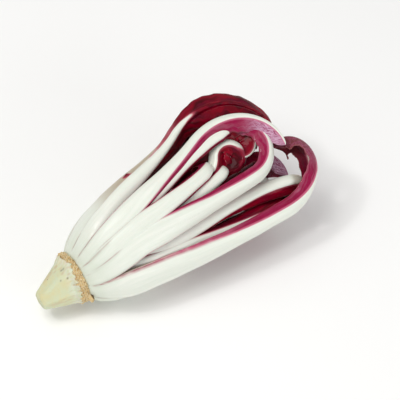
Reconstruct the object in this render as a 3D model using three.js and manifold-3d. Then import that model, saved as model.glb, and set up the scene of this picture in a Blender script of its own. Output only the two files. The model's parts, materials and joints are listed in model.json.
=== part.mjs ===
// A head of late-forced red chicory, the radicchio with long white ribs and hooked tips, lying on a table.
// Millimetres and degrees, +Z up, +X from the root to the tips.
// The origin is under the middle of the bounding box.
//
// Each leaf is one closed solid: a thick rib that leaves the crown, bulges over the shoulder, runs along
// the head and rolls up into a hook, with a thin blade folded inwards along each side of it.
// The leaves are set out in the head's own frame: x along the root from the collar to the tips, y and z
// across it. An azimuth is counted round x, from +y towards +z.
import * as THREE from "three";
import Module from "manifold-3d";
import { mergeVertices } from "three/addons/utils/BufferGeometryUtils.js";

const deg = THREE.MathUtils.degToRad;
const vec = (x, y, z) => new THREE.Vector3(x, y, z);

// How the head lies: rolled about its own axis, with the tips a little higher than the collar.
const LIE_ROLL = 32.4;
const LIE_RISE = 5.4;
const TABLE_LEVEL = -28.4; // height of the table under the head's axis at the collar
const BELLY_SEAT = 4.6; // from the table to the middle of a rib that is pressed against it
const KNEE_SEAT = 3.1;

// Taproot, peeled with a knife, and the collar where the leaves were cut and trimmed.
const ROOT_SIDES = 11;
const ROOT_PROFILE = [
  [-29, 6.2], [-27.6, 7.6], [-17, 12.2], [-5, 17], [-2.5, 19.2], [1.5, 20.8], [4.5, 20],
];
const CROWN_PROFILE = [[5, 14.4], [9, 13], [14, 9], [17.5, 4]]; // the crown inside, which carries the leaves
const ROOT_BEND = [-3, -2]; // how far the cut end sits off the axis, in y and z
const KNIFE_CUT = 0.07; // unevenness of the knife facets, as a share of the radius

// Leaves.
const IVORY = 0xe8e8d8;
const WINE = 0x8a2440;
const WINE_LEAVES = [ // these show more wine than ivory
  "leaf_tall", "leaf_wedge", "leaf_back_top", "leaf_snail", "leaf_rolled", "leaf_curtain",
];
const CLEARANCE = 0.35; // gap that one leaf keeps to the next
const BLADE_THICK = 0.9;
const SLIM_MARGIN = 1.3; // the membrane that runs down beside the rib below the blade
const CROWN_RADIUS = 17.8;
const CROWN_SPLAY = 54; // angle at which an outer leaf leaves the crown, from the axis
const BELLY_X = 55; // where the head is thickest
const BELLY_RADIUS = 35;
const KNEE_X = 138; // where the hooks start
const KNEE_RADIUS = 46;
const BELLY_OFFSET = vec(0, 4, 0); // the head bends towards +y, so its middle leaves the root's axis
const KNEE_OFFSET = vec(0, 10, 0);
const STALK_STEPS = [0, 0.12, 0.28, 0.5, 0.75, 1];
const HOOK_STEP = 28; // most degrees of turn between two stations of a hook
const HOOK_CHORD = 13; // and the longest distance between them

// Rib width and thickness at the crown, the belly, the knee and the tip, as shares of those at the belly.
const RIB_WIDTHS = [0.85, 1, 0.62, 0.186];
const RIB_HEIGHTS = [0.5, 1, 0.75, 0.2475];
const RIB_LEAST = [2.2, 1.5];
const RIB_BACK = 0.6; // share of the rib's thickness behind the blades, and in front of them
const RIB_FRONT = 0.4;
const RIB_SHOULDER = [0.3, 0.46]; // half way round the back, as shares of width and thickness
const MEMBRANE_FOLD = 82; // fold of the slim membrane, before it opens into a blade
const BLADE_WAVE = 6; // degrees that the fold wavers from station to station
const BLADE_REACH = 0.8; // share of the hook's radius that a blade may fill
const TIP_NARROWING = 0.6; // share of its width that a blade usually loses at the very tip
const TIP_SPAN = 0.2; // share of the hook over which it loses that
const OPENING_BEND = 1.6; // how late along the stalk a blade opens: 1 would be evenly
const OPEN_AT_KNEE = 0.5; // share of its opening that a blade has at the knee
const OPENING_SPAN = 0.385; // share of the hook over which the rest of the opening comes
const FAN_FROM = 0.5; // along the hook, where a blade that fans out begins to
const FAN_SPAN = 1 / 3; // share of the hook over which it does
const TWIST_SPAN = 0.4; // share of the hook over which a twist comes in

const mix = THREE.MathUtils.lerp;
const clamp = THREE.MathUtils.clamp;
const smooth = (t) => t * t * (3 - 2 * t);

// A repeatable draw between -1 and 1.
function draw(seed) {
  const s = Math.sin(seed * 127.1 + 11.7) * 43758.5453;
  return 2 * (s - Math.floor(s)) - 1;
}

function around(azimuth, radius, x) {
  return vec(x, radius * Math.cos(deg(azimuth)), radius * Math.sin(deg(azimuth)));
}

const across = (v, axis) => v.clone().addScaledVector(axis, -v.dot(axis)).normalize();

// The leaves of the upper side, each with its own bend, from the nearest one to the deepest.
// crown: azimuth and ring where the leaf is rooted.
// belly, knee: points of the rib at the shoulder and at the start of the hook.
// aim: heading in the x-y plane and rise towards +z at the knee.
// curl: the direction that the hook turns to, 0 towards +y, 90 towards +z.
// radii, turn, drift: the hook's spiral, and how far it moves sideways.
// roll: how far the back of the rib is turned out of the hook's plane at the knee.
// twist: how far it turns on from there along the hook, if it does.
// rib: width and thickness at the belly.
// taper: its widths at the knee and the tip as shares of that, where they aren't the usual ones.
// blade, fold: width and fold angle of the blade on each side.
// reach: share of the hook's radius that the blades may fill, where it isn't the usual one.
// fan: share of their width that the blades gain half way round the hook, if they do.
// narrowing: share that they lose at the tip, where it isn't the usual one.
const NEAR_LEAVES = [
  { name: "leaf_spiral",
    crown: [108, 1], belly: [54, -3, 37], knee: [153, -3, 36], aim: [3, -2], curl: 0,
    radii: [27, 13], turn: 252, drift: -12, roll: -42, twist: 20,
    rib: [20, 8], taper: [0.62, 0.14], blade: [8.5, 8], fold: [80, 70] },
  { name: "leaf_arch",
    crown: [72, 1], belly: [50, 20, 36], knee: [125, 43, 35], aim: [22, 0], curl: 180,
    radii: [57, 27], turn: 122, drift: 0, roll: 42,
    rib: [16, 7], taper: [0.5, 0.12], blade: [6, 11], fold: [60, 72] },
  { name: "leaf_snail",
    crown: [85, 3], belly: [66, 16, 14], knee: [134.2, 25.0, 27], aim: [60, 0], curl: 180,
    radii: [11.8, 10.8], turn: 305, drift: -2, roll: 40, twist: 5,
    rib: [12, 5], taper: [0.75, 0.25], blade: [14, 16], fold: [80, 28], reach: 1.12, narrowing: 0.1 },
  { name: "leaf_rolled",
    crown: [60, 3], belly: [66, 14, 10], knee: [154.5, 38.5, 25], aim: [6, 4], curl: 180,
    radii: [14, 10], turn: 250, drift: -4, roll: 8, twist: 14,
    rib: [8, 5], taper: [0.4, 0.3], blade: [20, 21], fold: [80, 84], reach: 1.1, narrowing: 0.2 },
  { name: "leaf_outer",
    crown: [142, 1], belly: [46, -27, 23], knee: [163.7, -37, 27], aim: [0, 2], curl: 0,
    radii: [49, 8], turn: 215, drift: -14, roll: -38, twist: 78,
    rib: [23, 9], taper: [0.5, 0.12], blade: [11, 8], fold: [76, 66], reach: 1.3, fan: 0.9 },
  { name: "leaf_short_a",
    crown: [91, 1], belly: [52, 8, 38], knee: [119, 18, 37], aim: [12, -12], curl: -90,
    radii: [11, 8], turn: 190, drift: 4, roll: 0,
    rib: [16, 8], taper: [0.6, 0.35], blade: [7, 8], fold: [70, 40] },
  { name: "leaf_tall",
    crown: [49, 1], belly: [50, 32, 26], knee: [118, 55, 25], aim: [29, -2], curl: 195,
    radii: [54, 46], turn: 106, drift: -8, roll: 62,
    rib: [14, 7], taper: [0.42, 0.12], blade: [9.5, 17], fold: [22, 20], narrowing: 0.35 },
  { name: "leaf_short_b",
    crown: [98, 2], belly: [60, 4, 28], knee: [130.5, 10.5, 33], aim: [14, -8], curl: -90,
    radii: [9, 7], turn: 190, drift: 4, roll: 0,
    rib: [13, 7], taper: [0.66, 0.35], blade: [7, 8], fold: [40, 50] },
  { name: "leaf_under_arch",
    crown: [66, 2], belly: [60, 18, 33], knee: [146, 38.5, 33], aim: [2, 0], curl: -100,
    radii: [13, 8], turn: 190, drift: 5, roll: 0,
    rib: [13, 6.5], taper: [0.75, 0.3], blade: [5, 4], fold: [70, 40] },
  { name: "leaf_wedge",
    crown: [124, 2], belly: [60, -20, 25], knee: [160, -31, 17], aim: [-2, -6], curl: -75,
    radii: [22, 12], turn: 130, drift: 0, roll: 10,
    rib: [15, 7], taper: [0.35, 0.2], blade: [13, 6], fold: [12, 60] },
  { name: "leaf_back_top",
    crown: [18, 1], belly: [50, 37, 10], knee: [120, 55, 6], aim: [27, -2], curl: 190,
    radii: [52, 22], turn: 150, drift: -6, roll: 20,
    rib: [18, 7], blade: [9, 10], fold: [40, 40] },
  { name: "leaf_low_inner",
    crown: [114, 3], belly: [62, -12, 27], knee: [178, -18, 22], aim: [-16, -3], curl: -110,
    radii: [14, 8], turn: 190, drift: 0, roll: 0,
    rib: [14, 7], taper: [0.66, 0.3], blade: [8, 14], fold: [60, 15] },
  { name: "leaf_curtain",
    crown: [340, 3], belly: [62, 4, -4], knee: [163, 13, 5], aim: [2, 2], curl: 180,
    radii: [21, 22], turn: 110, drift: 2, roll: 10,
    rib: [9, 5], blade: [16, 9], fold: [86, 75], reach: 1.0 },
];

// Leaves on the far side of the head follow one rule, ring by ring, with a seeded spread.
const RINGS = [
  { name: "leaf_far", azimuths: [176, 208, 238, 267, 295, 321, 348], ring: 1,
    belly: BELLY_RADIUS, bellyX: BELLY_X, knee: KNEE_RADIUS, kneeX: KNEE_X,
    radii: [27, 9], turn: 215, rib: [20, 8], blade: 10 },
  { name: "leaf_mid", azimuths: [157, 205, 250, 296, 338], ring: 2,
    belly: 23, bellyX: 62, knee: 28, kneeX: 129,
    radii: [17, 7], turn: 200, rib: [12, 6], blade: 10 },
  { name: "leaf_core", azimuths: [190, 270], ring: 3,
    belly: 12, bellyX: 66, knee: 14, kneeX: 112,
    radii: [12, 6], turn: 180, rib: [8, 5], blade: 9 },
];
const FLARE = 9; // degrees that the hooks of the far leaves lean outwards
const FAR_FOLD = 62;
const SPREAD = { azimuth: 5, kneeX: 9, curl: 38, radii: 0.12, turn: 35, drift: 6, blade: 1.5, fold: 10 };

// Where the leaves of each ring are rooted: along the axis and away from it.
const CROWN_RINGS = { 1: [6.5, CROWN_RADIUS], 2: [14, 15.5], 3: [19, 10] };

const head = new THREE.Group();
head.rotation.set(deg(LIE_ROLL), -deg(LIE_RISE), 0, "YXZ");
head.updateMatrixWorld(true);

// A point of the head, raised where the table holds the rib up.
function settled(point, seat) {
  const lying = head.localToWorld(point.clone());
  lying.z = Math.max(lying.z, TABLE_LEVEL + seat);
  return head.worldToLocal(lying);
}

function farLeaves() {
  const leaves = [];
  let seed = 1;
  for (const ring of RINGS) {
    ring.azimuths.forEach((azimuth, i) => {
      const kneeAzimuth = azimuth + SPREAD.azimuth * draw(seed);
      const kneeX = ring.kneeX + SPREAD.kneeX * draw(seed + 1);
      const belly = around(azimuth, ring.belly, ring.bellyX).add(BELLY_OFFSET);
      const knee = around(kneeAzimuth, ring.knee, kneeX).add(KNEE_OFFSET);
      const swing = SPREAD.curl * draw(seed + 2);
      leaves.push({
        name: `${ring.name}_${i + 1}`,
        crown: [azimuth, ring.ring],
        belly: settled(belly, BELLY_SEAT).toArray(),
        knee: settled(knee, KNEE_SEAT).toArray(),
        aim: [FLARE * Math.cos(deg(azimuth)), FLARE * Math.sin(deg(azimuth))],
        curl: azimuth + 180 + swing,
        radii: ring.radii.map((r) => r * (1 + SPREAD.radii * draw(seed + 3))),
        turn: ring.turn + SPREAD.turn * draw(seed + 4),
        drift: SPREAD.drift * draw(seed + 5),
        roll: -0.5 * swing,
        rib: ring.rib,
        blade: [ring.blade, ring.blade + SPREAD.blade * draw(seed + 6)],
        fold: [7, 8].map((k) => FAR_FOLD + SPREAD.fold * draw(seed + k)),
      });
      seed += 10;
    });
  }
  return leaves;
}

// Point of a cubic with given ends and end slopes.
function hermite(p0, m0, p1, m1, t) {
  const a = 2 * t ** 3 - 3 * t ** 2 + 1;
  const b = t ** 3 - 2 * t ** 2 + t;
  return vec(0, 0, 0).addScaledVector(p0, a).addScaledVector(m0, b)
    .addScaledVector(p1, 1 - a).addScaledVector(m1, t ** 3 - t ** 2);
}

// The middle line of a stalk, from the crown (u = 0) over the belly (0.5) to the knee (1).
function stalkCurve(leaf, aim) {
  const [azimuth, ring] = leaf.crown;
  const [rootX, rootRadius] = CROWN_RINGS[ring];
  const splay = deg(CROWN_SPLAY / ring ** 0.7);
  const root = around(azimuth, rootRadius, rootX);
  const start = around(azimuth, Math.sin(splay), Math.cos(splay));
  const belly = vec(...leaf.belly);
  const knee = vec(...leaf.knee);
  const lean = belly.clone().sub(root).normalize().multiplyScalar(0.25)
    .add(knee.clone().sub(belly).normalize()).normalize();
  const near = belly.distanceTo(root);
  const far = knee.distanceTo(belly);
  const slope = (direction, length) => direction.clone().multiplyScalar(length);
  return (u) =>
    u < 0.5
      ? hermite(root, slope(start, near), belly, slope(lean, near), u * 2)
      : hermite(belly, slope(lean, far), knee, slope(aim, far), u * 2 - 1);
}

// Stations along a leaf: place, tangent, direction of the rib's back, and how far along it they are.
function stations(leaf) {
  const [heading, rise] = leaf.aim.map(deg);
  const level = Math.cos(rise);
  const aim = vec(Math.cos(heading) * level, Math.sin(heading) * level, Math.sin(rise));
  const curl = across(around(leaf.curl, 1, 0), aim);
  const hookAxis = aim.clone().cross(curl);
  const radial = around(leaf.crown[0], 1, 0);
  const stalk = stalkCurve(leaf, aim);
  const rows = [];
  for (const u of STALK_STEPS) {
    const ahead = stalk(Math.min(1, u + 0.01));
    const tangent = ahead.sub(stalk(Math.max(0, u - 0.01))).normalize();
    const back = across(radial.clone().lerp(curl.clone().negate(), smooth(u) ** 2), tangent);
    const roll = deg(leaf.roll) * smooth(u);
    rows.push({ at: stalk(u), tangent, back, u, h: 0, radius: Infinity, roll });
  }
  const length = deg(leaf.turn) * Math.sqrt(leaf.radii[0] * leaf.radii[1]);
  const count = Math.ceil(Math.max(leaf.turn / HOOK_STEP, length / HOOK_CHORD));
  const step = deg(leaf.turn) / count;
  const place = stalk(1);
  for (let i = 1; i <= count; i++) {
    const h = i / count;
    const angle = step * (i - 0.5);
    const radius = leaf.radii[0] * (leaf.radii[1] / leaf.radii[0]) ** (h - 0.5 / count);
    const chord = 2 * radius * Math.sin(step / 2);
    place.addScaledVector(aim, chord * Math.cos(angle)).addScaledVector(curl, chord * Math.sin(angle));
    place.addScaledVector(hookAxis, leaf.drift / count);
    const [c, s] = [Math.cos(step * i), Math.sin(step * i)];
    const tangent = vec(0, 0, 0).addScaledVector(aim, c).addScaledVector(curl, s);
    const back = vec(0, 0, 0).addScaledVector(aim, s).addScaledVector(curl, -c);
    const roll = deg(leaf.roll + (leaf.twist ?? 0) * smooth(Math.min(1, h / TWIST_SPAN)));
    rows.push({ at: place.clone(), tangent, back, u: 1, h, radius, roll });
  }
  for (const row of rows) row.back.applyAxisAngle(row.tangent, row.roll);
  return rows;
}

// Width and thickness of the rib, and widths and folds of the blades, at a station.
function sectionSizes(leaf, row, index) {
  const { u, h } = row;
  const [wideAtCrown, wideAtBelly, ...usualTaper] = RIB_WIDTHS;
  const [wideAtKnee, wideAtTip] = leaf.taper ?? usualTaper;
  const [thickAtCrown, thickAtBelly, thickAtKnee, thickAtTip] = RIB_HEIGHTS;
  const width = u < 0.5
    ? mix(wideAtCrown, wideAtBelly, smooth(Math.min(1, u * 3)))
    : mix(wideAtBelly, mix(wideAtKnee, wideAtTip, h), smooth(u * 2 - 1));
  const thick = u < 0.5
    ? mix(thickAtCrown, thickAtBelly, smooth(u * 2))
    : mix(thickAtBelly, mix(thickAtKnee, thickAtTip, h), u * 2 - 1);
  const bent = mix(OPEN_AT_KNEE, 1, smooth(Math.min(1, h / OPENING_SPAN)));
  const opened = smooth(clamp(u * 2 - 1, 0, 1)) ** OPENING_BEND * bent;
  const narrowed = smooth(clamp(1 - (1 - h) / TIP_SPAN, 0, 1));
  const tip = 1 - (leaf.narrowing ?? TIP_NARROWING) * narrowed;
  const fan = 1 + (leaf.fan ?? 0) * smooth(clamp((h - FAN_FROM) / FAN_SPAN, 0, 1));
  const wave = BLADE_WAVE * opened * Math.sin(index * 2.3 + leaf.crown[0]);
  const rib = Math.max(RIB_LEAST[0], leaf.rib[0] * width);
  const height = Math.max(RIB_LEAST[1], leaf.rib[1] * thick);
  const folds = leaf.fold.map((fold, side) =>
    deg(mix(MEMBRANE_FOLD, fold, opened) + (side ? wave : -wave)));
  const blades = leaf.blade.map((blade, side) => {
    const room = (leaf.reach ?? BLADE_REACH) * row.radius - RIB_FRONT * height;
    const reach = room / Math.sin(folds[side]);
    return Math.min(mix(SLIM_MARGIN, blade * fan, opened * tip), Math.max(SLIM_MARGIN, reach));
  });
  return { rib, height, blades, folds };
}

// Outline of the section, anticlockwise seen along the tangent: [along the side, along the back].
function sectionOutline({ rib, height, blades, folds }, grow) {
  const half = (side) => {
    const sign = side ? 1 : -1;
    const fold = folds[side];
    const edge = [0.5 * rib, 0.02 * height];
    const tip = [edge[0] + blades[side] * Math.cos(fold), edge[1] - blades[side] * Math.sin(fold)];
    const inward = [-Math.sin(fold) * BLADE_THICK, -Math.cos(fold) * BLADE_THICK];
    return [
      [RIB_SHOULDER[0] * rib, RIB_SHOULDER[1] * height],
      edge,
      tip,
      [tip[0] + inward[0], tip[1] + inward[1]],
      [edge[0] + 1.15 * inward[0], edge[1] + 1.15 * inward[1]],
    ].map(([a, b]) => [sign * a, b]);
  };
  const outline = [[0, RIB_BACK * height], ...half(1), [0, -RIB_FRONT * height], ...half(0).reverse()];
  if (!grow) return outline;
  return outline.map((point, i) => {
    const before = outline[(i + outline.length - 1) % outline.length];
    const after = outline[(i + 1) % outline.length];
    const normal = (p, q) => {
      const length = Math.hypot(q[0] - p[0], q[1] - p[1]);
      return [-(q[1] - p[1]) / length, (q[0] - p[0]) / length];
    };
    const a = normal(before, point);
    const b = normal(point, after);
    const reach = grow / Math.max(0.6, Math.sqrt((1 + a[0] * b[0] + a[1] * b[1]) / 2));
    const size = Math.hypot(a[0] + b[0], a[1] + b[1]) || 1;
    return [point[0] + (reach * (a[0] + b[0])) / size, point[1] + (reach * (a[1] + b[1])) / size];
  });
}

const SECTION_POINTS = 12;
const BLADE_UNDERSIDES = [3, 8]; // strips of the outline whose split mirrors that of the blade's upper face

function leafSolid(leaf, grow = 0) {
  const rows = stations(leaf);
  const points = [];
  rows.forEach((row, index) => {
    const outline = sectionOutline(sectionSizes(leaf, row, index), grow);
    const side = row.tangent.clone().cross(row.back);
    const slide = index === 0 ? -grow : index === rows.length - 1 ? grow : 0;
    const centre = row.at.clone().addScaledVector(row.tangent, slide);
    for (const [a, b] of outline) {
      points.push(centre.clone().addScaledVector(side, a).addScaledVector(row.back, b));
    }
  });
  const faces = [];
  const n = SECTION_POINTS;
  for (let i = 0; i + 1 < rows.length; i++) {
    for (let j = 0; j < n; j++) {
      const k = (j + 1) % n;
      const [a, b, c, d] = [i * n + j, i * n + k, (i + 1) * n + k, (i + 1) * n + j];
      if (BLADE_UNDERSIDES.includes(j)) faces.push(a, b, d, b, c, d);
      else faces.push(a, b, c, a, c, d);
    }
  }
  const start = sectionOutline(sectionSizes(leaf, rows[0], 0), grow);
  const flat = start.map(([x, y]) => new THREE.Vector2(x, y));
  const cap = THREE.ShapeUtils.triangulateShape(flat, []);
  const last = (rows.length - 1) * n;
  const clockwise = THREE.ShapeUtils.isClockWise(flat);
  for (const [a, b, c] of cap) {
    if (clockwise) faces.push(a, b, c, last + a, last + c, last + b);
    else faces.push(a, c, b, last + a, last + b, last + c);
  }
  return solidFrom(points, faces);
}

// Solids from loose triangles, and meshes from solids.
const wasm = await Module();
wasm.setup();

function solidFrom(points, faces) {
  const mesh = (triVerts) =>
    new wasm.Manifold(new wasm.Mesh({
      numProp: 3,
      vertProperties: new Float32Array(points.flatMap((p) => p.toArray())),
      triVerts: new Uint32Array(triVerts),
    }));
  const solid = mesh(faces);
  return solid.volume() > 0 ? solid : mesh(faces.toReversed());
}

function solidOf(geometry) {
  const bare = geometry.clone();
  bare.deleteAttribute("normal");
  bare.deleteAttribute("uv");
  const merged = mergeVertices(bare, 1e-4);
  return new wasm.Manifold(new wasm.Mesh({
    numProp: 3,
    vertProperties: new Float32Array(merged.attributes.position.array),
    triVerts: new Uint32Array(merged.index.array),
  }));
}

function largestBody(solid) {
  return solid.decompose().reduce((best, body) => (body.volume() > best.volume() ? body : best));
}

function meshOf(solid, name, colour, roughness) {
  const { numProp, vertProperties, triVerts } = solid.getMesh();
  const places = new Float32Array((vertProperties.length / numProp) * 3);
  for (let i = 0; i * numProp < vertProperties.length; i++) {
    places.set(vertProperties.subarray(i * numProp, i * numProp + 3), i * 3);
  }
  const geometry = new THREE.BufferGeometry();
  geometry.setAttribute("position", new THREE.BufferAttribute(places, 3));
  geometry.setIndex(new THREE.BufferAttribute(triVerts, 1));
  geometry.computeVertexNormals();
  const material = new THREE.MeshStandardMaterial({ color: colour, roughness, metalness: 0 });
  const mesh = new THREE.Mesh(geometry, material);
  mesh.name = name;
  return mesh;
}

// The peeled root, the collar and the crown that carries the leaves are one grown piece.
function taproot() {
  const profile = [...ROOT_PROFILE, ...CROWN_PROFILE];
  const rings = profile.map(([x, radius], i) => {
    const peeled = x < 0 ? 1 : 0;
    const along = clamp(x / profile[0][0], 0, 1);
    return Array.from({ length: ROOT_SIDES }, (_, j) => {
      const uneven = 1 + peeled * KNIFE_CUT * draw(j * 3 + Math.floor(i / 3));
      const point = around((j * 360) / ROOT_SIDES, radius * uneven, x);
      return point.add(vec(0, ROOT_BEND[0], ROOT_BEND[1]).multiplyScalar(along));
    });
  });
  const points = rings.flat();
  const ends = [points.length, points.length + 1];
  points.push(vec(profile[0][0] - 0.4, ...ROOT_BEND), vec(profile.at(-1)[0] + 1, 0, 0));
  const faces = [];
  const n = ROOT_SIDES;
  for (let i = 0; i < rings.length; i++) {
    for (let j = 0; j < n; j++) {
      const k = (j + 1) % n;
      if (i + 1 < rings.length) {
        faces.push(i * n + j, (i + 1) * n + j, (i + 1) * n + k, i * n + j, (i + 1) * n + k, i * n + k);
      }
      if (i === 0) faces.push(ends[0], j, k);
      if (i + 1 === rings.length) faces.push(ends[1], i * n + k, i * n + j);
    }
  }
  return solidFrom(points, faces);
}

// Everything below the table, to cut the flat spots that the ribs have there.
function belowTable() {
  const size = 600;
  const slab = new THREE.BoxGeometry(size, size, size / 4);
  slab.translate(0, 0, TABLE_LEVEL - size / 8);
  slab.applyMatrix4(head.matrixWorld.clone().invert());
  return solidOf(slab);
}

// The nearest leaves stay whole, and each deeper one gives way to those before it.
const taken = [taproot()];
const table = belowTable();
head.add(meshOf(taken[0], "taproot", 0xd9cfa6, 0.7));
for (const leaf of [...NEAR_LEAVES, ...farLeaves()]) {
  const whole = leafSolid(leaf);
  let solid = whole.subtract(table);
  for (const other of taken) solid = solid.subtract(other);
  taken.push(leafSolid(leaf, CLEARANCE).add(whole));
  const colour = WINE_LEAVES.includes(leaf.name) ? WINE : IVORY;
  head.add(meshOf(largestBody(solid), leaf.name, colour, 0.45));
}

const group = new THREE.Group();
group.add(head);
const box = new THREE.Box3().setFromObject(group, true);
group.position.set(-(box.min.x + box.max.x) / 2, -(box.min.y + box.max.y) / 2, -box.min.z);
export default group;
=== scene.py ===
"""The looks of a radicchio head: every leaf is made again as a fine mesh on the line of its CAD solid."""
import json

import bpy
import numpy as np
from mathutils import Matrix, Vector


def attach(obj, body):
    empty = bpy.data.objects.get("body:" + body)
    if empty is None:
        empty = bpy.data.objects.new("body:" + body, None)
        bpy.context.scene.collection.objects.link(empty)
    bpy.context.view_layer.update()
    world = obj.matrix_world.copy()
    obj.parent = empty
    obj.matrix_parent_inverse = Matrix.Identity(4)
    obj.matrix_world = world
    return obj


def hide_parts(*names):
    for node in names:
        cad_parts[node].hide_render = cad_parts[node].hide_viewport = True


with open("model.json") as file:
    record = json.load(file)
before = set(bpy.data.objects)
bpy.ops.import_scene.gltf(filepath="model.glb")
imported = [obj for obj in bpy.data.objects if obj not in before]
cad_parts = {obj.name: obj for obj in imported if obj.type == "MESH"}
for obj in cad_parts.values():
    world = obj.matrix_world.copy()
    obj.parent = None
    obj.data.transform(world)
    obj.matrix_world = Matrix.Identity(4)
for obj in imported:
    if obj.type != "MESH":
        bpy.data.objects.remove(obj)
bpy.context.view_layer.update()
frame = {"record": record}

# ---------------------------------------------------------------- the head's frame, as in the solids (mm)
LIE_ROLL, LIE_RISE = np.radians(32.4), np.radians(5.4)  # how the head lies on its side
TABLE_LEVEL = -28.4
BELLY_SEAT, KNEE_SEAT = 4.6, 3.1  # how far above the table the lowest leaves' lines stay
OFFSET = np.array([-86.458, -4.093, 28.4])
# x and radius along the taproot, and how far its tip leans
ROOT_PROFILE = [(-29, 6.2), (-27.6, 7.6), (-17, 12.2), (-5, 17), (-2.5, 19.2), (1.5, 20.8), (4.5, 20)]
ROOT_BEND = np.array([0, -3, -2])
CROWN_RADIUS, CROWN_SPLAY = 17.8, 54
CROWN_RINGS = {1: (6.5, CROWN_RADIUS), 2: (14, 15.5), 3: (19, 10)}  # x and radius where the leaves start
BELLY_OFFSET, KNEE_OFFSET = np.array([0, 4, 0]), np.array([0, 10, 0])
# the rib's size at the collar, belly, knee and tip, as a share of its own; and the least in mm
RIB_WIDTHS = (0.85, 1, 0.62, 0.186)
RIB_HEIGHTS = (0.5, 1, 0.75, 0.2475)
RIB_LEAST = (2.2, 1.5)
MEMBRANE_FOLD, SLIM_MARGIN, BLADE_REACH = 82, 1.3, 0.8
TWIST_SPAN = 0.4  # share of the hook over which a leaf twists
ROW_STEP, FAR_STEP = 1.1, 1.5  # mm between the rows of a leaf, near and on the hidden side
STRAIGHT = 1e6  # bend radius of a stalk
MM = 0.001


def turn_x(angle):
    c, s = np.cos(angle), np.sin(angle)
    return np.array([[1, 0, 0], [0, c, -s], [0, s, c]])


def turn_y(angle):
    c, s = np.cos(angle), np.sin(angle)
    return np.array([[c, 0, s], [0, 1, 0], [-s, 0, c]])


LIE = turn_y(-LIE_RISE) @ turn_x(LIE_ROLL)


def to_part(points):
    """Head frame to part frame, in metres; nothing goes below the table."""
    placed = points @ LIE.T + OFFSET
    placed[..., 2] = np.maximum(placed[..., 2], 0.02)
    return placed * MM


def settled(point, seat):
    """The point, lifted where it would come nearer to the table than its seat."""
    lying = LIE @ point
    lying[2] = max(lying[2], TABLE_LEVEL + seat)
    return LIE.T @ lying


def unit(v):
    return v / np.maximum(1e-9, np.linalg.norm(v, axis=-1, keepdims=True))


def smooth(t):
    t = np.clip(t, 0, 1)
    return t * t * (3 - 2 * t)


def mix(a, b, t):
    return a + (b - a) * t


def draw(seed):
    """A fixed uneven number between -1 and 1 for each seed, as in the solids."""
    s = np.sin(seed * 127.1 + 11.7) * 43758.5453
    return 2 * (s - np.floor(s)) - 1


def around(azimuth, radius, x):
    """The point at this azimuth in degrees and this radius round the head's axis."""
    return np.array([x, radius * np.cos(np.radians(azimuth)), radius * np.sin(np.radians(azimuth))])


def across(v, axis):
    """The direction of v without its part along the axis."""
    return unit(v - axis * np.sum(v * axis, axis=-1, keepdims=True))


def hermite(p0, m0, p1, m1, t):
    t = t[:, None]
    a = 2 * t**3 - 3 * t**2 + 1
    b = t**3 - 2 * t**2 + t
    return p0 * a + m0 * b + p1 * (1 - a) + m1 * (t**3 - t**2)


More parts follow.
